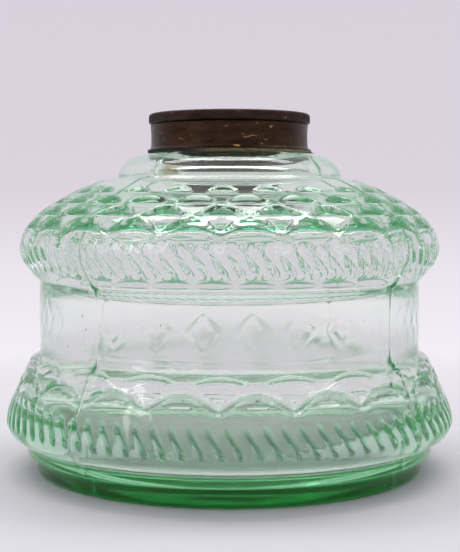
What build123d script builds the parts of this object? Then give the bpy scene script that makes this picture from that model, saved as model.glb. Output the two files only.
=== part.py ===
from build123d import *
import os

# Oil lamp reservoir: a blown-in-mould glass font with a cemented brass collar.
# Millimetres, +Z up. The origin is the centre of the foot, on the surface that the lamp stands on.
# Every piece is turned about the Z axis, so each one is an outline in the XZ plane and a full revolve.

os.makedirs("parts", exist_ok=True)

# Widths: the waist drives the vessel's width, and the burner's thread drives the neck's and the collar's.
waist_radius = 65.6
thread_radius = 24.75

# Foot: the lower ring stands on the table, and the wider plinth ring sits on it, under the skirt.
foot_height = 6.6
foot_edge_round = 1.4
foot_inset_from_plinth = 3.4
plinth_height = 4.8
plinth_inset_from_skirt = 7.0

# Underside: a flat contact ring with a shallow dome pushed up inside it.
contact_ring_width = 5.4
underside_rise = 2.0

# Skirt: the lower bulge. Its widest line lies above the plinth, and it leans in to a ledge at the waist.
skirt_overhang = 11.6
skirt_height = 28.7
skirt_widest_above_plinth = 6.4
skirt_bend_above_widest = 4.7
skirt_ledge_width = 3.2
skirt_ledge_drop = 1.5

# Waist: the plain upright band between the two bulges.
waist_height = 25.7

# Shoulder: the upper bulge, which closes in over the reservoir to a ledge round the neck dome.
shoulder_overhang = 6.7
shoulder_height = 34.2
shoulder_lip_width = 0.6
shoulder_lower_bend_above_waist = 5.7
shoulder_widest_above_waist = 10.6
shoulder_upper_bend_above_widest = 11.8
shoulder_ledge_width = 7.2
shoulder_ledge_rise = 0.9

# Neck dome: the smooth ring of glass that the collar stands over.
dome_overhang = 10.2
dome_crown_margin = 0.65
dome_height = 8.4

# Neck: the upright glass tube inside the collar.
neck_wall = 3.2
neck_height = 5.9
neck_rim_round = 1.0

# Glass thickness in each part of the vessel.
floor_thickness = 7.5
floor_corner_round = 15.0
skirt_wall = 5.2
waist_wall = 4.0
shoulder_wall = 4.8
shoulder_inner_bend_above_widest = 8.6
ledge_wall = 6.4
ledge_inner_reach = 3.8
dome_wall = 4.0
neck_root_round = 3.0

# Thread ring: the inner brass ring for the burner, with a knurled bead rolled over the sleeve's top.
thread_ring_wall = 0.7
thread_wall_height = 3.9
bead_overhang = 0.55
bead_height = 3.5
bead_round = 1.2

# Collar sleeve: drawn brass sheet round the neck, with a flared lower lip.
sleeve_wall = 0.5
lip_flare = 1.1
lip_height = 1.3

# Cement: it fills the space between the glass neck and the brass, and stands out under the lip.
cement_round_thread_ring = 1.4
cement_round_neck = 1.65
cement_over_rim = 0.4
cement_under_lip = 1.0
cement_fillet_width = 1.6

# Radii that follow from the sizes above.
skirt_radius = waist_radius + skirt_overhang
shoulder_radius = waist_radius + shoulder_overhang
plinth_radius = skirt_radius - plinth_inset_from_skirt
foot_radius = plinth_radius - foot_inset_from_plinth
contact_radius = foot_radius - foot_edge_round - contact_ring_width
thread_ring_outer_radius = thread_radius + thread_ring_wall
sleeve_inner_radius = thread_ring_outer_radius + cement_round_thread_ring
sleeve_outer_radius = sleeve_inner_radius + sleeve_wall
lip_radius = sleeve_outer_radius + lip_flare
bead_radius = sleeve_outer_radius + bead_overhang
neck_radius = sleeve_inner_radius - cement_round_neck
neck_bore_radius = neck_radius - neck_wall
dome_top_radius = sleeve_outer_radius + dome_crown_margin
dome_radius = dome_top_radius + dome_overhang
shoulder_top_radius = dome_radius + shoulder_ledge_width

# Heights that follow from the sizes above.
plinth_top = foot_height + plinth_height
skirt_widest = plinth_top + skirt_widest_above_plinth
waist_bottom = plinth_top + skirt_height
waist_top = waist_bottom + waist_height
shoulder_widest = waist_top + shoulder_widest_above_waist
shoulder_top = waist_top + shoulder_height
dome_top = shoulder_top + dome_height
neck_top = dome_top + neck_height
sleeve_bottom = dome_top + cement_under_lip
thread_ring_bottom = neck_top + cement_over_rim
sleeve_top = thread_ring_bottom + thread_wall_height
bead_top = sleeve_top + bead_height
floor_top = underside_rise + floor_thickness


def turned(outline):
    """Revolve a closed outline, drawn with X as radius and Y as height, about the Z axis."""
    upright = Plane.XZ * make_face(outline)
    return revolve(upright, axis=Axis.Z, revolution_arc=360)


def quarter_round(start, corner, end):
    """A quarter ellipse between two points, inside the square corner where their tangents meet."""
    handle = 0.5523
    first = (start[0] + (corner[0] - start[0]) * handle, start[1] + (corner[1] - start[1]) * handle)
    second = (end[0] + (corner[0] - end[0]) * handle, end[1] + (corner[1] - end[1]) * handle)
    return Bezier(start, first, second, end)


def foot_outline():
    """The underside and the two foot rings, from the axis out to the plinth's top edge."""
    centre = (0, underside_rise)
    inner_contact = (contact_radius, 0)
    outer_contact = (foot_radius - foot_edge_round, 0)
    edge_end = (foot_radius, foot_edge_round)
    return [
        Bezier(centre, (contact_radius / 2, underside_rise), inner_contact),
        Line(inner_contact, outer_contact),
        quarter_round(outer_contact, (foot_radius, 0), edge_end),
        Polyline(edge_end, (foot_radius, foot_height), (plinth_radius, foot_height), (plinth_radius, plinth_top)),
    ]


def skirt_outline():
    """The lower bulge, from the plinth's top edge to the bottom of the waist."""
    start = (plinth_radius, plinth_top)
    widest = (skirt_radius, skirt_widest)
    bend = (skirt_radius, skirt_widest + skirt_bend_above_widest)
    ledge = (waist_radius + skirt_ledge_width, waist_bottom - skirt_ledge_drop)
    return [
        quarter_round(start, (skirt_radius, plinth_top), widest),
        Bezier(widest, bend, ledge),
        Line(ledge, (waist_radius, waist_bottom)),
    ]


def shoulder_outline():
    """The upper bulge, from the top of the waist to the foot of the neck dome."""
    start = (waist_radius + shoulder_lip_width, waist_top)
    lower_bend = (shoulder_radius, waist_top + shoulder_lower_bend_above_waist)
    widest = (shoulder_radius, shoulder_widest)
    upper_bend = (shoulder_radius, shoulder_widest + shoulder_upper_bend_above_widest)
    end = (shoulder_top_radius, shoulder_top - shoulder_ledge_rise)
    return [
        Line((waist_radius, waist_top), start),
        Bezier(start, lower_bend, widest),
        Bezier(widest, upper_bend, end),
        Line(end, (dome_radius, shoulder_top)),
    ]


def neck_outline():
    """The neck dome, the neck's outside and its rim, down to the top of the bore."""
    start = (dome_radius, shoulder_top)
    crown = (dome_top_radius, dome_top)
    rim_outside = (neck_radius, neck_top - neck_rim_round)
    rim_crown_outer = (neck_radius - neck_rim_round, neck_top)
    rim_crown_inner = (neck_bore_radius + neck_rim_round, neck_top)
    rim_inside = (neck_bore_radius, neck_top - neck_rim_round)
    return [
        quarter_round(start, (dome_radius, dome_top), crown),
        Polyline(crown, (neck_radius, dome_top), rim_outside),
        quarter_round(rim_outside, (neck_radius, neck_top), rim_crown_outer),
        Line(rim_crown_outer, rim_crown_inner),
        quarter_round(rim_crown_inner, (neck_bore_radius, neck_top), rim_inside),
    ]


def inside_outline():
    """The smooth blown inside, from the bore down to the floor at the axis."""
    skirt_inside = skirt_radius - skirt_wall
    waist_inside = waist_radius - waist_wall
    shoulder_inside = shoulder_radius - shoulder_wall
    dome_inside = dome_radius - dome_wall
    dome_ceiling = dome_top - dome_wall
    bore_end = (neck_bore_radius, dome_ceiling + neck_root_round)
    root_end = (neck_bore_radius + neck_root_round, dome_ceiling)
    dome_side = (dome_inside, shoulder_top)
    under_ledge = (dome_radius + ledge_inner_reach, shoulder_top - ledge_wall)
    shoulder_bend = (shoulder_inside, shoulder_widest + shoulder_inner_bend_above_widest)
    ceiling_slope = (under_ledge[1] - shoulder_bend[1]) / (shoulder_bend[0] - under_ledge[0])
    dome_bend = (dome_inside, under_ledge[1] + ceiling_slope * (under_ledge[0] - dome_inside))
    shoulder_side = (shoulder_inside, shoulder_widest)
    waist_upper = (waist_inside, waist_top - shoulder_lower_bend_above_waist)
    waist_lower = (waist_inside, waist_bottom + skirt_bend_above_widest)
    skirt_side = (skirt_inside, floor_top + floor_corner_round)
    floor_end = (skirt_inside - floor_corner_round, floor_top)
    return [
        Line((neck_bore_radius, neck_top - neck_rim_round), bore_end),
        quarter_round(bore_end, (neck_bore_radius, dome_ceiling), root_end),
        quarter_round(root_end, (dome_inside, dome_ceiling), dome_side),
        Bezier(dome_side, dome_bend, under_ledge),
        Bezier(under_ledge, shoulder_bend, shoulder_side),
        Bezier(shoulder_side, (shoulder_inside, waist_top), (waist_inside, waist_top), waist_upper),
        Line(waist_upper, waist_lower),
        Bezier(waist_lower, (waist_inside, waist_bottom - skirt_bend_above_widest),
               (skirt_inside, waist_bottom - skirt_bend_above_widest), skirt_side),
        quarter_round(skirt_side, (skirt_inside, floor_top), floor_end),
        Line(floor_end, (0, floor_top)),
        Line((0, floor_top), (0, underside_rise)),
    ]


def make_glass_font():
    """The one-piece vessel: foot, skirt, waist, shoulder, neck dome and neck."""
    waist_line = [Line((waist_radius, waist_bottom), (waist_radius, waist_top))]
    outline = foot_outline() + skirt_outline() + waist_line + shoulder_outline() + neck_outline() + inside_outline()
    return turned(outline)


def make_collar_sleeve():
    """The drawn sleeve, plain inside, with its flared lip at the bottom."""
    flare_top = sleeve_bottom + lip_height
    lip_inside = (lip_radius - sleeve_wall, sleeve_bottom)
    lip_outside = (lip_radius, sleeve_bottom)
    body_inside = (sleeve_inner_radius, flare_top)
    body_outside = (sleeve_outer_radius, flare_top)
    outline = [
        Line(lip_inside, lip_outside),
        quarter_round(lip_outside, (sleeve_outer_radius, sleeve_bottom), body_outside),
        Polyline(body_outside, (sleeve_outer_radius, sleeve_top), (sleeve_inner_radius, sleeve_top), body_inside),
        quarter_round(body_inside, (sleeve_inner_radius, sleeve_bottom), lip_inside),
    ]
    return turned(outline)


def make_thread_ring():
    """The threaded wall, plain at the thread's crest radius, with the rolled bead on top of it."""
    wall_top_outside = (thread_ring_outer_radius, sleeve_top)
    bead_under = (sleeve_outer_radius, sleeve_top)
    bead_low = (bead_radius, sleeve_top + bead_round)
    bead_high = (bead_radius, bead_top - bead_round)
    bead_crown_outer = (bead_radius - bead_round, bead_top)
    bead_crown_inner = (thread_radius + bead_round, bead_top)
    mouth = (thread_radius, bead_top - bead_round)
    outline = [
        Polyline(mouth, (thread_radius, thread_ring_bottom), (thread_ring_outer_radius, thread_ring_bottom),
                 wall_top_outside, bead_under),
        quarter_round(bead_under, (bead_radius, sleeve_top), bead_low),
        Line(bead_low, bead_high),
        quarter_round(bead_high, (bead_radius, bead_top), bead_crown_outer),
        Line(bead_crown_outer, bead_crown_inner),
        quarter_round(bead_crown_inner, (thread_radius, bead_top), mouth),
    ]
    return turned(outline)


def make_plaster_ring():
    """The cement before the glass and the sleeve, which it was cast against, are cut out of it."""
    fillet_radius = lip_radius + cement_fillet_width
    cement_inner_radius = neck_bore_radius + neck_rim_round
    cement_root = dome_top - cement_fillet_width
    outline = [
        Polyline((cement_inner_radius, thread_ring_bottom), (cement_inner_radius, cement_root),
                 (fillet_radius, cement_root), (fillet_radius, dome_top), (lip_radius, sleeve_bottom),
                 (lip_radius - sleeve_wall, sleeve_bottom), (sleeve_inner_radius, sleeve_bottom + lip_height),
                 (sleeve_inner_radius, sleeve_top), (thread_ring_outer_radius, sleeve_top),
                 (thread_ring_outer_radius, thread_ring_bottom), (cement_inner_radius, thread_ring_bottom)),
    ]
    return turned(outline)


glass_font = make_glass_font()
collar_sleeve = make_collar_sleeve()
thread_ring = make_thread_ring()
plaster_ring = make_plaster_ring() - glass_font - collar_sleeve

pieces = {
    "glass_font": glass_font,
    "plaster_ring": plaster_ring,
    "collar_sleeve": collar_sleeve,
    "thread_ring": thread_ring,
}
for name, piece in pieces.items():
    export_step(piece, f"parts/{name}.step")
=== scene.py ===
import math

import bmesh
import bpy
import numpy as np
from mathutils import Matrix, Vector


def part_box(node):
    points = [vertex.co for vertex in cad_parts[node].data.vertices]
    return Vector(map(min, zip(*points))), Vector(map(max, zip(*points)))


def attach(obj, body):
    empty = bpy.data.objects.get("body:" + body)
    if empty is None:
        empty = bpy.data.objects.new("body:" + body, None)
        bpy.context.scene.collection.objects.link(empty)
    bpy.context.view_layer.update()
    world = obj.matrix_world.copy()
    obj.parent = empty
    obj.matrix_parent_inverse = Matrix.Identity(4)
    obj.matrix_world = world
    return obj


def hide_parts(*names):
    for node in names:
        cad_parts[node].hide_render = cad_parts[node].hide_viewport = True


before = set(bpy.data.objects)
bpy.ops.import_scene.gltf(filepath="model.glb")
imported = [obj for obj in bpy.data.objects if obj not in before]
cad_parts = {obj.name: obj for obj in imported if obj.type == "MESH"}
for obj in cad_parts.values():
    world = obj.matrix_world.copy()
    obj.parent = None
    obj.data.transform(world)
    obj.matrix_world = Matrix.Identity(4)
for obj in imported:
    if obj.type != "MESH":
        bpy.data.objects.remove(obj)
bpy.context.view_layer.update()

# ---------------------------------------------------------------------------------------------
# The reservoir: one piece of pale green glass, blown into a four-part iron mould.
# The mould leaves a foot, a skirt, a waist and a shoulder, with scales and rope bands in relief
# on the outside. The inside is smooth, because only air shaped it.
# ---------------------------------------------------------------------------------------------

mm = 0.001
glass_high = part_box("glass_font")[1]
sleeve_low, sleeve_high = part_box("collar_sleeve")
skirt_radius = glass_high.x / mm - 0.05
neck_top = glass_high.z / mm
dome_top = sleeve_low.z / mm - 1.0

waist_radius = 65.6
waist_bottom = 40.1
waist_top = 65.8
shoulder_radius = 72.3
shoulder_widest = 76.4
shoulder_top = 100.0
skirt_widest = 17.8
plinth_radius = 70.2
plinth_top = 11.4
foot_radius = 66.8
foot_height = 6.6
dome_radius = 38.2
dome_top_radius = 28.0
neck_radius = 25.2
bore_radius = 22.0
floor_height = 9.5
inner_dome_radius = 34.2
inner_shoulder_radius = 67.5
inner_waist_radius = 61.6
inner_waist_bottom = 44.8
inner_waist_top = 60.1
inner_skirt_radius = 72.0
seam_angle = 51.0
lower_rope_course = (16.4, 27.0)
upper_rope_course = (69.3, 79.4)
waist_band = (46.0, 60.0)


def run(count, *controls):
    """Points after the first control, along the Bezier curve of the controls."""
    points = []
    for i in range(1, count + 1):
        level = [np.array(control, dtype=float) for control in controls]
        while len(level) > 1:
            level = [a + (b - a) * i / count for a, b in zip(level, level[1:])]
        points.append(tuple(level[0]))
    return points


def quarter(count, start, corner, end):
    """Points after start, along a quarter ellipse inside the square corner."""
    handle = 0.5523
    first = tuple(a + (b - a) * handle for a, b in zip(start, corner))
    second = tuple(c + (b - c) * handle for b, c in zip(corner, end))
    return run(count, start, first, second, end)


def travel(outline):
    """How far along the outline each of its points lies."""
    steps = np.hypot(*np.diff(np.array(outline), axis=0).T)
    return np.concatenate([[0.0], np.cumsum(steps)])


def courses_of_rows(outline, low, high, count):
    """Evenly spaced points on a rising outline, after one height and up to another."""
    spots = np.array(outline)
    travelled = travel(outline)
    start, end = np.interp([low, high], spots[:, 1], travelled)
    marks = np.linspace(start, end, count + 1)[1:]
    return list(zip(*(np.interp(marks, travelled, spots[:, axis]) for axis in (0, 1))))


def turn_outline(mesh, outline, columns, start_angle=0.0):
    """Turn a chain of points, each a radius and a height, once round the Z axis into a mesh."""
    band = bmesh.new()
    first = Matrix.Rotation(math.radians(start_angle), 3, "Z")
    chain = [band.verts.new(first @ Vector((0.0, -radius * mm, height * mm)))
             for radius, height in outline]
    chain += [band.edges.new(pair) for pair in zip(chain, chain[1:])]
    sector = 32
    turns = columns // sector
    step = math.tau / turns
    bmesh.ops.spin(band, geom=chain, cent=(0, 0, 0), axis=(0, 0, 1), angle=step, steps=sector,
                   use_merge=False, use_duplicate=False)
    bmesh.ops.spin(band, geom=band.verts[:] + band.edges[:] + band.faces[:], cent=(0, 0, 0),
                   axis=(0, 0, 1), angle=math.tau - step, steps=turns - 1, use_merge=False,
                   use_duplicate=True)
    bmesh.ops.remove_doubles(band, verts=band.verts, dist=1e-6)
    turned = bpy.data.meshes.new("turned_band")
    band.to_mesh(turned)
    band.free()
    mesh.from_mesh(turned)
    bpy.data.meshes.remove(turned)


# The outside, from the foot's edge up: the stepped foot, the skirt, the shoulder and the dome.
foot_edge = (foot_radius - 1.4, 0.0)
foot_course = [foot_edge]
foot_course += quarter(4, foot_edge, (foot_radius, 0.0), (foot_radius, 1.4))
foot_course += run(2, (foot_radius, 1.4), (foot_radius, foot_height - 0.5))
foot_course += quarter(2, (foot_radius, foot_height - 0.5), (foot_radius, foot_height),
                       (foot_radius + 0.5, foot_height))
foot_course += run(1, (foot_radius + 0.5, foot_height), (plinth_radius - 0.5, foot_height))
foot_course += quarter(2, (plinth_radius - 0.5, foot_height), (plinth_radius, foot_height),
                       (plinth_radius, foot_height + 0.6))
foot_course += run(2, (plinth_radius, foot_height + 0.6), (plinth_radius, plinth_top - 0.2))

skirt_line = [(plinth_radius, plinth_top - 0.2)]
skirt_line += quarter(60, skirt_line[0], (skirt_radius, plinth_top - 0.1), (skirt_radius, skirt_widest))
skirt_ledge = (waist_radius + 3.2, waist_bottom - 1.5)
skirt_line += run(120, (skirt_radius, skirt_widest), (skirt_radius, skirt_widest + 4.7), skirt_ledge)
skirt_line += run(30, skirt_ledge, (waist_radius + 1.0, waist_bottom - 0.5),
                  (waist_radius, waist_bottom + 0.8))
foot_course += courses_of_rows(skirt_line, plinth_top - 0.2, lower_rope_course[0], 8)

shoulder_line = [(waist_radius, waist_top - 0.6)]
shoulder_line += run(20, shoulder_line[0], (waist_radius, waist_top - 0.05),
                     (waist_radius + 0.8, waist_top))
shoulder_line += run(80, (waist_radius + 0.8, waist_top), (shoulder_radius, waist_top + 5.7),
                     (shoulder_radius, shoulder_widest))
shoulder_ledge = (dome_radius + 7.2, shoulder_top - 0.9)
shoulder_line += run(160, (shoulder_radius, shoulder_widest), (shoulder_radius, shoulder_widest + 11.8),
                     shoulder_ledge)
dome_course = run(3, shoulder_ledge, (dome_radius + 0.5, shoulder_top))
dome_course += quarter(9, (dome_radius + 0.5, shoulder_top), (dome_radius + 0.2, dome_top),
                       (dome_top_radius, dome_top))
dome_course += run(1, (dome_top_radius, dome_top), (neck_radius, dome_top))
dome_course += run(1, (neck_radius, dome_top), (neck_radius, neck_top - 1.0))
dome_course += run(1, (neck_radius, neck_top - 1.0), (neck_radius - 1.0, neck_top))

# Each course has its own number of columns, because the rope bands need the most.
plain_columns, relief_columns, rope_columns = 256, 512, 1024
courses = [
    (foot_course, plain_columns),
    (courses_of_rows(skirt_line, *lower_rope_course, 14), rope_columns),
    (courses_of_rows(skirt_line, lower_rope_course[1], waist_bottom + 0.8, 27), relief_columns),
    (run(2, (waist_radius, waist_bottom + 0.8), (waist_radius, waist_band[0])), relief_columns),
    (run(17, (waist_radius, waist_band[0]), (waist_radius, waist_band[1])), relief_columns),
    (run(3, (waist_radius, waist_band[1]), (waist_radius, waist_top - 0.6)), relief_columns),
    (courses_of_rows(shoulder_line, waist_top - 0.6, upper_rope_course[0], 5), relief_columns),
    (courses_of_rows(shoulder_line, *upper_rope_course, 14), rope_columns),
    (courses_of_rows(shoulder_line, upper_rope_course[1], shoulder_ledge[1], 49), relief_columns),
    (dome_course, plain_columns),
]
font = bmesh.new()
for course, columns in courses:
    turn_outline(font, course, columns, seam_angle)
# The borders of neighbouring courses lie a row apart, and a strip of faces joins them.
for lower, upper in zip(courses, courses[1:]):
    ends = (lower[0][-1], upper[0][0])
    borders = [edge for edge in font.edges if edge.is_boundary and any(
        max(math.hypot(math.hypot(v.co.x, v.co.y) / mm - r, v.co.z / mm - z) for v in edge.verts) < 0.01
        for r, z in ends)]
    bmesh.ops.bridge_loops(font, edges=borders)
bmesh.ops.recalc_face_normals(font, faces=font.faces)
font.normal_update()


def wrapped(degrees, count, phase):
    """Where an angle falls in its repeat of a pattern, from -0.5 to 0.5, with 0 at the middle."""
    return ((degrees - phase) * count / 360 + 0.5) % 1.0 - 0.5


def swell(value, low, high, soft):
    """1 between low and high, easing to 0 over a soft distance outside them."""
    rise = np.clip((value - low + soft) / soft, 0, 1)
    fall = np.clip((high + soft - value) / soft, 0, 1)
    return rise * rise * (3 - 2 * rise) * fall * fall * (3 - 2 * fall)


def scoops(turn, along, count, phase, width, base, arch, tall, depth):
    """A ring of lens-shaped hollows, each with an arched foot, a taller top and a steep lower wall."""
    across = wrapped(turn, count, phase) * 2 / width
    open_part = np.clip(1 - across ** 2, 0, 1)
    low = base + arch * open_part
    up = np.clip((along - low) / np.maximum(tall * open_part, 1e-6), 0, 1)
    deepest = 0.4834
    section = np.sqrt(up) * (1 - up) ** 1.2 / deepest
    return depth * open_part ** 0.45 * section * (open_part > 0)


def arc_grooves(turn, along, count, phase, width, base, arch, wide, depth):
    """A ring of narrow grooves, each along an arch."""
    across = wrapped(turn, count, phase) * 2 / width
    open_part = np.clip(1 - across ** 2, 0, 1)
    away = (along - base - arch * open_part) / (wide / 2)
    return depth * np.clip(1 - away ** 2, 0, 1) ** 0.8 * np.minimum(open_part * 5, 1)


def rope(turn, along, count, phase, low, high, lean, sharp, wave, slit_width, slit_reach, slit_depth):
    """A band of slanted rounded strands, with a narrow hollow along each valley between them."""
    middle = (low + high) / 2
    half = (high - low) / 2
    climb = np.clip((along - middle) / half, -1, 1)
    shift = lean * (1.5 * climb - 0.5 * climb ** 3) / 2
    valley = ((turn - phase) * count / 360 + shift + 0.5) % 1.0 - 0.5
    strand = 1 - 2 * np.abs(valley)
    band = np.clip(1 - ((along - middle) / (half * 1.08)) ** 2, 0, 1) ** 0.6
    reach = (valley / slit_width) ** 2 + ((along - middle) / (half * slit_reach)) ** 4
    return wave * band * strand ** sharp + slit_depth * np.clip(1 - reach, 0, 1) ** 0.8


outside = font.verts.layers.float.new("outside")
hollow_shade = font.verts.layers.float.new("hollow_shade")
vertices = list(font.verts)
place = np.array([vertex.co for vertex in vertices])
normal = np.array([vertex.normal for vertex in vertices])
if (normal[:, :2] * place[:, :2]).sum() < 0:
    normal = -normal
spread = np.hypot(place[:, 0], place[:, 1])
turn = np.degrees(np.arctan2(place[:, 0], -place[:, 1]))

# The columns beside each mould seam are drawn in, so that the fin there can be thin.
off_seam = wrapped(turn, 4, seam_angle) * 90
near = (np.abs(off_seam) > 0.05) & (np.abs(off_seam) < 1.45)
close_in = np.sign(off_seam) * (0.30 + 0.30 * (np.abs(off_seam) - 0.35) / 1.05)
drawn_in = np.where(near, close_in, off_seam)
new_turn = np.radians(turn + drawn_in - off_seam)
turned_normal = np.degrees(new_turn) - turn
cosine, sine = np.cos(np.radians(turned_normal)), np.sin(np.radians(turned_normal))
normal[:, 0], normal[:, 1] = (normal[:, 0] * cosine - normal[:, 1] * sine,
                              normal[:, 0] * sine + normal[:, 1] * cosine)
turn = np.degrees(new_turn)
place[:, 0] = spread * np.sin(new_turn)
place[:, 1] = -spread * np.cos(new_turn)
height = place[:, 2] / mm

side = skirt_line + [(waist_radius, waist_top - 0.6)] + shoulder_line[1:]
side_heights = [point[1] for point in side]
along = np.interp(height, side_heights, travel(side))


def at(level):
    """How far up the side's surface a height lies."""
    return float(np.interp(level, side_heights, travel(side)))


cut = np.zeros(len(vertices))

# Shoulder: four rows of scales, from the top down, each set half a step round from the last. A row is
# its turn in degrees, its scales' share of the pitch, its height, then arch, tallness and depth in mm.
scale_count = 24
shoulder_rows = [
    (-2.2, 0.72, 95.2, -0.6, 4.4, 1.2),
    (5.3, 0.84, 91.8, -0.4, 4.6, 1.4),
    (-2.2, 0.90, 87.3, 1.0, 5.0, 1.6),
    (5.3, 0.98, 81.8, 1.9, 5.2, 1.8),
]
# Painted shade: how much darker green each point is painted, in the scales here and in the arches, eyes,
# slits and seam fins below.
painted_shade = np.zeros(len(vertices))
for phase, width, base_height, arch, tall, depth in shoulder_rows:
    scale = scoops(turn, along, scale_count, phase, width, at(base_height), arch, tall, 1.0)
    cut += depth * scale
    painted_shade += np.minimum(1.5 * scale, 1)

# A row of long tongues under the scales, parted by hollows.
tongue = np.abs(wrapped(turn, scale_count, 5.3) * 2)
cut += 1.2 * tongue ** 4 * swell(along, at(79.6), at(81.5), 3.0)

# Shoulder rope band, under the tongues.
cut += rope(turn, along, count=88, phase=0.0, low=at(69.8), high=at(78.8), lean=0.55, sharp=1.6,
            wave=0.48, slit_width=0.22, slit_reach=0.85, slit_depth=0.10)

# Skirt: a row of shallow arches on the ledge, a row of deeper ones under it, each with a hollow eye,
# and lobes that hang down to a second rope band. Its strands are parted by deep slits.
arch_count = 20
lower_phase = 6.5
ledge_arch = arc_grooves(turn, along, arch_count, -2.4, 0.72, at(38.0), 2.2, 1.4, 1.0)
lower_arch = arc_grooves(turn, along, arch_count, lower_phase, 1.0, at(30.2), 5.1, 1.5, 1.0)
eye = scoops(turn, along, arch_count, lower_phase, 0.62, at(31.6), 0.8, 2.6, 1.0)
cut += 0.7 * ledge_arch + 0.8 * lower_arch + 1.2 * eye
painted_shade += 0.6 * ledge_arch + 0.6 * lower_arch + eye
lobe = np.abs(wrapped(turn, arch_count, lower_phase) * 2)
cut += 0.6 * lobe ** 6 * swell(along, at(27.6), at(29.0), 1.6)
lower_rope = dict(count=84, phase=1.0, low=at(16.9), high=at(26.3), lean=0.78, sharp=3.0,
                  slit_width=0.20, slit_reach=0.97)
slits = rope(turn, along, wave=0.0, slit_depth=1.0, **lower_rope)
cut += 0.85 * slits + rope(turn, along, wave=0.16, slit_depth=0.0, **lower_rope)
painted_shade += slits

# Mould seams: four fine upright fins, taller where the waist meets the ledge and the lip.
seam = np.abs(wrapped(turn, 4, seam_angle)) * 90
corner = np.exp(-((height - waist_top) / 1.6) ** 2) + np.exp(-((height - waist_bottom) / 1.6) ** 2)
fin = np.clip(1 - seam / (0.36 + 0.5 * corner), 0, 1)
cut -= (0.30 + 0.7 * corner) * fin * swell(height, 3.0, 104.0, 3.0)
# The fins are painted darker green as shade, least across the middle of the waist and most at its
# corners.
painted_shade += fin * (0.9 * (1 - swell(height, 43.0, 62.0, 2.0)) + corner)

# Waist: a row of plain lozenges in very low relief, on the front half only.
lozenge_count = 28
lozenge_phase = seam_angle + 180 / lozenge_count
lozenge = np.abs(wrapped(turn, lozenge_count, lozenge_phase)) * 2 / 0.78 + np.abs(height - 53.0) / 6.6
lozenge += np.clip(np.abs(turn) - 84, 0, 1)
cut -= 0.09 * swell(1 - lozenge, 0.18, 2.0, 0.16) * (1 - 0.7 * swell(1 - lozenge, 0.46, 2.0, 0.16))

# The chilled skin of the glass is never quite true.
cut += 0.04 * np.sin(np.radians(turn * 5) + height * 0.21) + 0.04

bare = (height > 0.4) & (height < dome_top - 0.3)
place[bare] -= normal[bare] * (cut[bare, None] * mm)
# Each point keeps its share of painted shade, which the glass colour reads.
for vertex, spot, depth in zip(vertices, place, painted_shade):
    vertex.co = spot
    vertex[outside] = 1.0
    vertex[hollow_shade] = min(depth, 1.0)

# The smooth inside, from the rim down, and the pushed-up underside.
rim = (bore_radius + 1.0, neck_top - 0.1)
dome_ceiling = dome_top - 4.0
inside = [rim]
inside += run(2, rim, (bore_radius, neck_top), (bore_radius, neck_top - 1.0))
inside += run(2, (bore_radius, neck_top - 1.0), (bore_radius, dome_ceiling + 3.0))
inside += quarter(4, (bore_radius, dome_ceiling + 3.0), (bore_radius, dome_ceiling),
                  (bore_radius + 3.0, dome_ceiling))
inside += quarter(6, (bore_radius + 3.0, dome_ceiling), (inner_dome_radius, dome_ceiling),
                  (inner_dome_radius, shoulder_top))
inside += run(5, (inner_dome_radius, shoulder_top), (inner_dome_radius, 96.2), (42.0, 93.6))
inside += run(9, (42.0, 93.6), (inner_shoulder_radius, 85.0), (inner_shoulder_radius, shoulder_widest))
inside += run(7, (inner_shoulder_radius, shoulder_widest), (inner_shoulder_radius, waist_top),
              (inner_waist_radius, waist_top), (inner_waist_radius, inner_waist_top))
inside += run(2, (inner_waist_radius, inner_waist_top), (inner_waist_radius, inner_waist_bottom))
inside += run(8, (inner_waist_radius, inner_waist_bottom), (inner_waist_radius, 35.4),
              (inner_skirt_radius, 35.4), (inner_skirt_radius, floor_height + 15.0))
inside += quarter(8, (inner_skirt_radius, floor_height + 15.0), (inner_skirt_radius, floor_height),
                  (57.0, floor_height))
inside += run(3, (57.0, floor_height), (0.0, floor_height))
underside = [(0.0, 2.0)] + run(6, (0.0, 2.0), (30.0, 2.0), (60.0, 0.1))
turn_outline(font, inside, 96, seam_angle)
turn_outline(font, underside, 96, seam_angle)


def close_borders(shape, level):
    """Join the open borders below a level to each other, and then those above it."""
    borders = [edge for edge in shape.edges if edge.is_boundary]
    for upper in (False, True):
        bmesh.ops.bridge_loops(shape, edges=[
            edge for edge in borders if (max(v.co.z for v in edge.verts) > level * mm) == upper])


close_borders(font, 1.0)
bmesh.ops.recalc_face_normals(font, faces=font.faces)

# Seeds: small bubbles that were caught in the wall, so their faces point into themselves.
chance = np.random.default_rng(7)
seed_count = 46
wall_heights = [26.0, 34.0, 45.0, 62.0, 70.0, 80.0]
wall_middles = [73.2, 68.8, 63.6, 64.0, 67.5, 69.0]
seeds = bmesh.new()
for _ in range(seed_count):
    around = chance.uniform(0, math.tau)
    level = chance.choice([chance.uniform(45.0, 62.0), chance.uniform(26.0, 34.0),
                           chance.uniform(70.0, 80.0)])
    wall_middle = np.interp(level, wall_heights, wall_middles)
    seed_place = Vector((math.sin(around) * wall_middle, -math.cos(around) * wall_middle, level)) * mm
    stretch = Matrix.Diagonal((1.0, 1.0, chance.uniform(1.0, 2.2), 1.0))
    bmesh.ops.create_icosphere(seeds, subdivisions=1, radius=chance.uniform(0.12, 0.30) * mm,
                               matrix=Matrix.Translation(seed_place) @ stretch)
bmesh.ops.reverse_faces(seeds, faces=seeds.faces)
seed_mesh = bpy.data.meshes.new("seeds")
seeds.to_mesh(seed_mesh)
seeds.free()
font.from_mesh(seed_mesh)
bpy.data.meshes.remove(seed_mesh)


def finished_piece(name, shape):
    """Shade a shape smooth, and make it an object of its own at the origin."""
    for face in shape.faces:
        face.smooth = True
    mesh = bpy.data.meshes.new(name)
    shape.to_mesh(mesh)
    shape.free()
    piece = bpy.data.objects.new(name, mesh)
    bpy.context.collection.objects.link(piece)
    return piece


reservoir = finished_piece("reservoir_glass", font)


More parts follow.
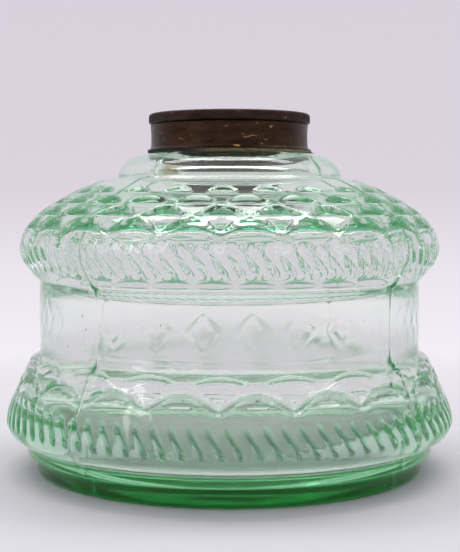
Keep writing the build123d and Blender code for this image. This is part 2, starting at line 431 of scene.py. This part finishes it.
def fresh_material(name):
    """A material of its own, with its shader and the piece's own coordinates."""
    material = bpy.data.materials.new(name)
    material.use_nodes = True
    spot = material.node_tree.nodes.new("ShaderNodeTexCoord").outputs["Object"]
    return material, material.node_tree.nodes["Principled BSDF"], spot


def feed(target, source):
    """Give an input another node's output, or a plain value."""
    if isinstance(source, bpy.types.NodeSocket):
        source.id_data.links.new(source, target)
    else:
        target.default_value = source


def add_node(kind, sources, **settings):
    """A new node of a kind, with its settings, and each named input fed from its source."""
    tree = next(source.id_data for source in sources.values() if isinstance(source, bpy.types.NodeSocket))
    node = tree.nodes.new("ShaderNode" + kind)
    for name, value in settings.items():
        setattr(node, name, value)
    for name, source in sources.items():
        feed(node.inputs[name], source)
    return node


def clouds(spot, scale, detail):
    """Soft random blotches, from 0 to 1."""
    return add_node("TexNoise", {"Vector": spot, "Scale": scale, "Detail": detail}).outputs["Fac"]


def between(value, low, high, start=0.0, end=1.0, easing="LINEAR"):
    """Carry a value that runs from low to high over to one that runs from start to end."""
    return add_node("MapRange", {"Value": value, "From Min": low, "From Max": high, "To Min": start,
                            "To Max": end}, interpolation_type=easing).outputs[0]


def product(first, second):
    """Two values multiplied."""
    return add_node("Math", {0: first, 1: second}, operation="MULTIPLY").outputs[0]


def covered(share, under, over):
    """One colour laid over another, by the upper one's share of the surface."""
    return add_node("Mix", {"Factor": share, "A": under, "B": over}, data_type="RGBA").outputs["Result"]


def toned(value, *stops):
    """Colours along a value, from stops of a position and a colour, in rising order."""
    ramp = add_node("ValToRGB", {"Fac": value})
    elements = ramp.color_ramp.elements
    elements[0].position, elements[0].color = stops[0]
    elements[1].position, elements[1].color = stops[-1]
    for position, colour in stops[1:-1]:
        elements.new(position).color = colour
    return ramp.outputs["Color"]


def dimpled(shader, height, strength, distance):
    """Fine unevenness in a finish, a distance deep in mm."""
    bump = add_node("Bump", {"Height": height, "Strength": strength, "Distance": distance * mm})
    feed(shader.inputs["Normal"], bump.outputs["Normal"])


# Pale bottle-green glass: clear through a thin wall, and deep green low down, where it is thickest.
# The near-black green of the foot's lower band is partly that colour and partly painted shade, for the
# shadowed table it reflects.
glass, shader, spot = fresh_material("pale_green_glass")
shader.inputs["Transmission Weight"].default_value = 1.0
shader.inputs["IOR"].default_value = 1.5
level = add_node("SeparateXYZ", {0: spot}).outputs["Z"]
tint_by_height_and_foot_shade = toned(between(level, 0.0, 40 * mm),
                  (0.155, (0.001, 0.09, 0.006, 1.0)), (0.17, (1.0, 0.96, 1.0, 1.0)),
                  (0.32, (1.0, 1.0, 1.0, 1.0)), (0.38, (0.66, 1.0, 0.76, 1.0)),
                  (0.62, (0.80, 1.0, 0.88, 1.0)), (0.80, (1.0, 1.0, 1.0, 1.0)))
outer = spot.id_data.nodes.new("ShaderNodeAttribute")
outer.attribute_name = "outside"
inside_tint = (1.0, 0.99, 0.97, 1.0)
tint = covered(outer.outputs["Fac"], inside_tint, tint_by_height_and_foot_shade)

# A brown drip of old cement on the neck dome, left of the middle.
drip_place = (-18.5 * mm, -33.0 * mm, 102.5 * mm)
from_drip = add_node("VectorMath", {0: spot, 1: drip_place}, operation="DISTANCE").outputs["Value"]
ragged = add_node("Math", {0: clouds(spot, 420.0, 4.0), 1: 7 * mm, 2: from_drip},
             operation="MULTIPLY_ADD").outputs[0]
drip = between(ragged, 5.5 * mm, 8.5 * mm, 0.85, 0.0)
tint = covered(drip, tint, (0.42, 0.30, 0.14, 1.0))

# Painted shade: the pressed hollows, slits and seam fins are painted a darker, deeper green.
hollow_shade_node = spot.id_data.nodes.new("ShaderNodeAttribute")
hollow_shade_node.attribute_name = "hollow_shade"
feed(shader.inputs["Base Color"], covered(hollow_shade_node.outputs["Fac"], tint, (0.03, 0.38, 0.13, 1.0)))

# A dried film of old oil on the inside, in patches. It is dullest at the waist, where the oil stood,
# and thin under the ledge. The outside stays polished.
patches = between(clouds(spot, 28.0, 3.0), 0.30, 0.62, 0.0, 0.08)
film = add_node("Math", {0: patches, 1: outer.outputs["Fac"]}, operation="SUBTRACT",
                use_clamp=True).outputs[0]
more_at_waist = between(level, 62 * mm, 52 * mm, 1.0, 2.6, easing="SMOOTHSTEP")
less_under_ledge = between(level, 36 * mm, 42 * mm, 0.4, 1.0)
feed(shader.inputs["Roughness"], product(film, product(more_at_waist, less_under_ledge)))

# The chilled skin, and the green that light picks up on its way through the wall.
dimpled(shader, clouds(spot, 90.0, 2.0), 0.25, 0.12)
wall_green = spot.id_data.nodes.new("ShaderNodeVolumeAbsorption")
wall_green.inputs["Color"].default_value = (0.15, 0.78, 0.36, 1.0)
wall_green.inputs["Density"].default_value = 11.5
feed(spot.id_data.nodes["Material Output"].inputs["Volume"], wall_green.outputs[0])
reservoir.data.materials.append(glass)
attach(reservoir, "root")
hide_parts("glass_font")

# ---------------------------------------------------------------------------------------------
# The lamp cement: plaster of Paris and rosin, poured between the glass neck and the brass.
# It is khaki with age, and a lumpy line of it stands out under the collar's lip.
# ---------------------------------------------------------------------------------------------

skin_gap = 0.04
lip_radius = sleeve_high.x / mm
sleeve_bottom = sleeve_low.z / mm
sleeve_top = sleeve_high.z / mm
sleeve_outer_radius = lip_radius - 1.1
sleeve_inner_radius = sleeve_outer_radius - 0.5
ring_low, ring_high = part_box("thread_ring")
ring_bottom = ring_low.z / mm
ring_back_radius = 25.45
toe = (lip_radius + 1.5, dome_top + skin_gap)
cement_line = [toe]
cement_line += run(5, toe, (lip_radius + 0.3, dome_top + 0.3),
                   (lip_radius - 0.1, sleeve_bottom - skin_gap))
cement_line += run(1, cement_line[-1], (lip_radius - 0.6, sleeve_bottom - skin_gap))
cement_line += run(1, cement_line[-1], (sleeve_inner_radius - skin_gap, sleeve_bottom + 1.3))
cement_line += run(2, cement_line[-1], (sleeve_inner_radius - skin_gap, sleeve_top - skin_gap))
cement_line += run(1, cement_line[-1], (ring_back_radius + skin_gap, sleeve_top - skin_gap))
cement_line += run(2, cement_line[-1], (ring_back_radius + skin_gap, ring_bottom - skin_gap))
cement_line += run(3, cement_line[-1], (bore_radius + 1.1, ring_bottom - skin_gap))
cement_line += run(1, cement_line[-1], (bore_radius + 1.1, neck_top + skin_gap))
cement_line += run(1, cement_line[-1], (neck_radius - 1.0, neck_top + skin_gap))
cement_line += run(1, cement_line[-1], (neck_radius + skin_gap, neck_top - 1.0 + skin_gap))
cement_line += run(1, cement_line[-1], (neck_radius + skin_gap, dome_top + skin_gap))
cement_line += run(1, cement_line[-1], (dome_top_radius, dome_top + skin_gap))
cement_line += run(1, cement_line[-1], toe)


def polar(vertex):
    """A point's angle round the axis, from the front, and its radius and height in mm."""
    angle = math.atan2(vertex.co.x, -vertex.co.y)
    return angle, math.hypot(vertex.co.x, vertex.co.y) / mm, vertex.co.z / mm


def push_out(vertex, distance):
    """Move a point away from the axis, by a distance in mm."""
    vertex.co.xy *= 1 + distance / (math.hypot(vertex.co.x, vertex.co.y) / mm)


# Lumps in the line of cement that shows. It is drawn back at the front's left.
ring_of_cement = bmesh.new()
turn_outline(ring_of_cement, cement_line, 288)
for vertex in ring_of_cement.verts:
    angle, radius, level = polar(vertex)
    if level < sleeve_bottom - 0.1 and radius > dome_top_radius + 0.2:
        lump = 0.5 * math.sin(angle * 7 + 1.0) + 0.3 * math.sin(angle * 23)
        lump += 0.2 * math.sin(angle * 61 + 2.0)
        lump -= 2.6 / (1 + math.exp((angle + 0.45) * 12)) / (1 + math.exp((-2.2 - angle) * 12))
        reach = (radius - dome_top_radius) / (toe[0] - dome_top_radius)
        push_out(vertex, (lump - 0.6) * 0.45 * reach)
        vertex.co.z += (0.12 * lump - 0.1) * reach * mm * (1 if radius < toe[0] - 0.2 else 0)
bmesh.ops.recalc_face_normals(ring_of_cement, faces=ring_of_cement.faces)
cement_ring = finished_piece("cement_ring", ring_of_cement)

cement, shader, spot = fresh_material("old_lamp_cement")
grain = clouds(spot, 900.0, 6.0)
khaki = toned(grain, (0.32, (0.05, 0.04, 0.012, 1.0)), (0.68, (0.17, 0.155, 0.055, 1.0)))

# Left of the middle the cement is painted near-black, as the shadow of the lip falls there.
side_spot = add_node("SeparateXYZ", {0: spot}).outputs["X"]
painted_lip_shadow = between(side_spot, -5 * mm, -13 * mm)
feed(shader.inputs["Base Color"], covered(painted_lip_shadow, khaki, (0.012, 0.009, 0.007, 1.0)))
shader.inputs["Roughness"].default_value = 0.85
dimpled(shader, grain, 0.6, 0.3)
cement_ring.data.materials.append(cement)
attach(cement_ring, "root")
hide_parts("plaster_ring")

# ---------------------------------------------------------------------------------------------
# The collar's sleeve: thin sheet brass, drawn to a short tube, with a flared lip at the bottom.
# It is dark brown with age, bent a little out of true, and rubbed to bare brass in places.
# ---------------------------------------------------------------------------------------------

sleeve_line = [(lip_radius - 0.5, sleeve_bottom + 0.25)]
sleeve_line += run(3, sleeve_line[0], (lip_radius - 0.45, sleeve_bottom),
                   (lip_radius - 0.1, sleeve_bottom))
sleeve_line += run(3, sleeve_line[-1], (lip_radius, sleeve_bottom), (lip_radius, sleeve_bottom + 0.3))
sleeve_line += quarter(7, sleeve_line[-1], (sleeve_outer_radius - 0.1, sleeve_bottom + 0.35),
                       (sleeve_outer_radius - 0.1, sleeve_bottom + 1.6))
sleeve_line += run(12, sleeve_line[-1], (sleeve_outer_radius - 0.35, sleeve_bottom + 4.6),
                   (sleeve_outer_radius, sleeve_top - 0.1))
sleeve_line += run(1, sleeve_line[-1], (sleeve_inner_radius + 0.03, sleeve_top - 0.1))
sleeve_line += run(4, sleeve_line[-1], (sleeve_inner_radius + 0.03, sleeve_bottom + 1.4))
sleeve_line += quarter(5, sleeve_line[-1], (sleeve_inner_radius + 0.03, sleeve_bottom + 0.3),
                       (lip_radius - 0.5, sleeve_bottom + 0.25))

# The outer skin is bowed a little, and dented low down.
sleeve_tube = bmesh.new()
turn_outline(sleeve_tube, sleeve_line, 256)
for vertex in sleeve_tube.verts:
    angle, radius, level = polar(vertex)
    low_down = max(0.0, 1 - (level - sleeve_bottom) / 4.0)
    bow = 0.05 * math.sin(angle * 3 + 0.6) + 0.03 * math.sin(angle * 8 + level * 0.7)
    dent = 0.10 * low_down * max(0.0, math.sin(angle * 5 + 2.2)) ** 3
    if radius > sleeve_inner_radius + 0.2:
        push_out(vertex, bow - dent - 0.08)
bmesh.ops.recalc_face_normals(sleeve_tube, faces=sleeve_tube.faces)
sleeve = finished_piece("brass_sleeve", sleeve_tube)


def old_brass(name, dark, warm, rubbed, rub_share):
    """Brass under a brown patina: mottled, streaked round the tube, and rubbed bright in small places."""
    material, shader, spot = fresh_material(name)
    streaked = add_node("Mapping", {"Vector": spot, "Scale": (1.0, 1.0, 3.5)}).outputs["Vector"]
    mottle = add_node("TexNoise", {"Vector": streaked, "Scale": 130.0, "Detail": 8.0,
                              "Roughness": 0.65}).outputs["Fac"]
    scuffs = add_node("TexNoise", {"Vector": streaked, "Scale": 260.0, "Detail": 5.0,
                              "Distortion": 0.8}).outputs["Fac"]
    patina = toned(mottle, (0.34, dark), (0.66, warm))
    rub = between(scuffs, 1 - rub_share, 1 - rub_share + 0.08)
    feed(shader.inputs["Base Color"], covered(rub, patina, rubbed))
    shader.inputs["Metallic"].default_value = 0.9
    feed(shader.inputs["Roughness"], between(mottle, 0.3, 0.7, 0.28, 0.5))
    dimpled(shader, scuffs, 0.35, 0.05)
    return material


sleeve.data.materials.append(old_brass(
    "sleeve_patina", dark=(0.022, 0.011, 0.006, 1.0), warm=(0.060, 0.031, 0.015, 1.0),
    rubbed=(0.60, 0.38, 0.14, 1.0), rub_share=0.335))
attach(sleeve, "root")
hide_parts("collar_sleeve")

# ---------------------------------------------------------------------------------------------
# The thread ring: brass strip with a rolled female thread for the burner. Its top is rolled over
# the sleeve as a bead, and the bead is knurled with fine upright ridges for the fingers.
# ---------------------------------------------------------------------------------------------

bead_radius = ring_high.x / mm
bead_top = ring_high.z / mm
thread_radius = 24.75
thread_pitch = 2.0
thread_depth = 0.42
thread_fade = 0.8
ridge_count = 240
knurl_depth = 0.08
bead_round = 1.2
bead_line = [(sleeve_outer_radius - 0.1, sleeve_top)]
bead_line += quarter(4, bead_line[0], (bead_radius, sleeve_top), (bead_radius, sleeve_top + 0.7))
bead_line += run(3, bead_line[-1], (bead_radius, bead_top - bead_round))
bead_line += quarter(5, bead_line[-1], (bead_radius, bead_top), (bead_radius - bead_round, bead_top))
mouth_line = run(2, bead_line[-1], (thread_radius + bead_round, bead_top))
mouth_line += quarter(5, mouth_line[-1], (thread_radius, bead_top),
                      (thread_radius, bead_top - bead_round))
mouth_line += run(30, mouth_line[-1], (thread_radius, ring_bottom))
mouth_line += run(1, mouth_line[-1], (thread_radius + 0.7, ring_bottom))
mouth_line += run(2, mouth_line[-1], (thread_radius + 0.7, sleeve_top))
mouth_line += run(1, mouth_line[-1], (sleeve_inner_radius, sleeve_top))

# The knurled bead: shallow ridges that fade out over its top.
ring = bmesh.new()
turn_outline(ring, bead_line, ridge_count * 4)
for vertex in ring.verts:
    angle, radius, level = polar(vertex)
    knurl_share = max(0.0, min(1.0, (radius - bead_radius + 0.45) / 0.35))
    push_out(vertex, -knurl_depth * (1 - math.cos(angle * ridge_count)) * knurl_share)

# The rolled thread: a wave that climbs by its pitch in each turn, and fades out at both ends.
turn_outline(ring, mouth_line, 192)
for vertex in ring.verts:
    angle, radius, level = polar(vertex)
    if abs(radius - thread_radius) < 0.01 and level > ring_bottom + 0.1:
        wave = 0.5 - 0.5 * math.cos(math.tau * (level / thread_pitch - angle / math.tau))
        room_above, room_below = bead_top - bead_round - level, level - ring_bottom
        fade = min(1.0, room_above / thread_fade) * min(1.0, room_below / thread_fade)
        push_out(vertex, thread_depth * wave * fade)
close_borders(ring, bead_top - 0.1)
bmesh.ops.recalc_face_normals(ring, faces=ring.faces)
thread_ring = finished_piece("knurled_thread_ring", ring)
thread_ring.data.materials.append(old_brass(
    "ring_patina", dark=(0.018, 0.010, 0.008, 1.0), warm=(0.055, 0.032, 0.025, 1.0),
    rubbed=(0.45, 0.30, 0.14, 1.0), rub_share=0.33))
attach(thread_ring, "root")
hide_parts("thread_ring")

# ---------------------------------------------------------------------------------------------
# The table: a sheet of pale studio paper. It is plain under the reservoir, and further out it
# fades into the even light of the room, as a sweep of paper does.
# ---------------------------------------------------------------------------------------------

sheet = bmesh.new()
bmesh.ops.create_circle(sheet, cap_ends=True, segments=96, radius=1.5)
table = finished_piece("studio_paper", sheet)
table.location.z = -0.15 * mm
paper, shader, spot = fresh_material("pale_paper")
shader.inputs["Base Color"].default_value = (0.66, 0.65, 0.68, 1.0)
shader.inputs["Roughness"].default_value = 0.7
away = add_node("VectorMath", {0: spot}, operation="LENGTH").outputs["Value"]
clear = spot.id_data.nodes.new("ShaderNodeBsdfTransparent")
sweep = add_node("MixShader", {0: between(away, 0.10, 0.36, easing="SMOOTHSTEP"), 1: shader.outputs[0],
                          2: clear.outputs[0]})
feed(spot.id_data.nodes["Material Output"].inputs["Surface"], sweep.outputs[0])
table.data.materials.append(paper)

# ---------------------------------------------------------------------------------------------
# Light: a pale room, a little brighter just above the table's far side, a wide soft box overhead
# and a narrower one to the left, which put the fine white lines on the glass.
# ---------------------------------------------------------------------------------------------

world = bpy.data.worlds.new("studio")
bpy.context.scene.world = world
world.use_nodes = True
outward = world.node_tree.nodes.new("ShaderNodeTexCoord").outputs["Generated"]
up = add_node("SeparateXYZ", {0: outward}).outputs["Z"]
wall_tones = [(0.01, (0.66, 0.63, 0.70)), (0.10, (0.67, 0.645, 0.71)), (0.145, (0.80, 0.755, 0.83)),
              (0.225, (0.905, 0.863, 0.925)), (0.30, (0.84, 0.79, 0.86)), (0.39, (0.708, 0.655, 0.735)),
              (0.58, (0.69, 0.64, 0.72)), (0.75, (0.72, 0.70, 0.74))]
wall = toned(between(up, -0.30, 0.50), *((position, (*tone, 1.0)) for position, tone in wall_tones))
feed(world.node_tree.nodes["Background"].inputs["Color"], wall)


def soft_box(name, place, aim, size, power):
    """A rectangular area light that faces a point."""
    lamp = bpy.data.lights.new(name, "AREA")
    lamp.shape = "RECTANGLE"
    lamp.size, lamp.size_y = size
    lamp.energy = power
    holder = bpy.data.objects.new(name, lamp)
    bpy.context.collection.objects.link(holder)
    holder.location = place
    holder.rotation_euler = (Vector(aim) - Vector(place)).to_track_quat("-Z", "Y").to_euler()


soft_box("overhead_box", (0.0, 0.12, 0.8), (0, 0, 0.06), (1.0, 0.20), 4.1)
soft_box("left_box", (-0.75, -0.55, 0.45), (0, 0, 0.06), (0.10, 0.5), 0.6)

# ---------------------------------------------------------------------------------------------
# Camera: a long lens in front, level with the upper shoulder and tilted a little down.
# ---------------------------------------------------------------------------------------------

lens = bpy.data.cameras.new("camera")
lens.sensor_width = 36.0
lens.lens = 80.3
camera = bpy.data.objects.new("camera", lens)
bpy.context.collection.objects.link(camera)
camera.location = (0.2 * mm, -429.6 * mm, 91.8 * mm)
downward_tilt = 3.44
camera.rotation_euler = (math.radians(90 - downward_tilt), 0.0, 0.0)
scene = bpy.context.scene
scene.camera = camera
scene.view_settings.view_transform = "Standard"
scene.cycles.max_bounces = 32
scene.cycles.glossy_bounces = 32
scene.cycles.transmission_bounces = 32
scene.cycles.transparent_max_bounces = 16
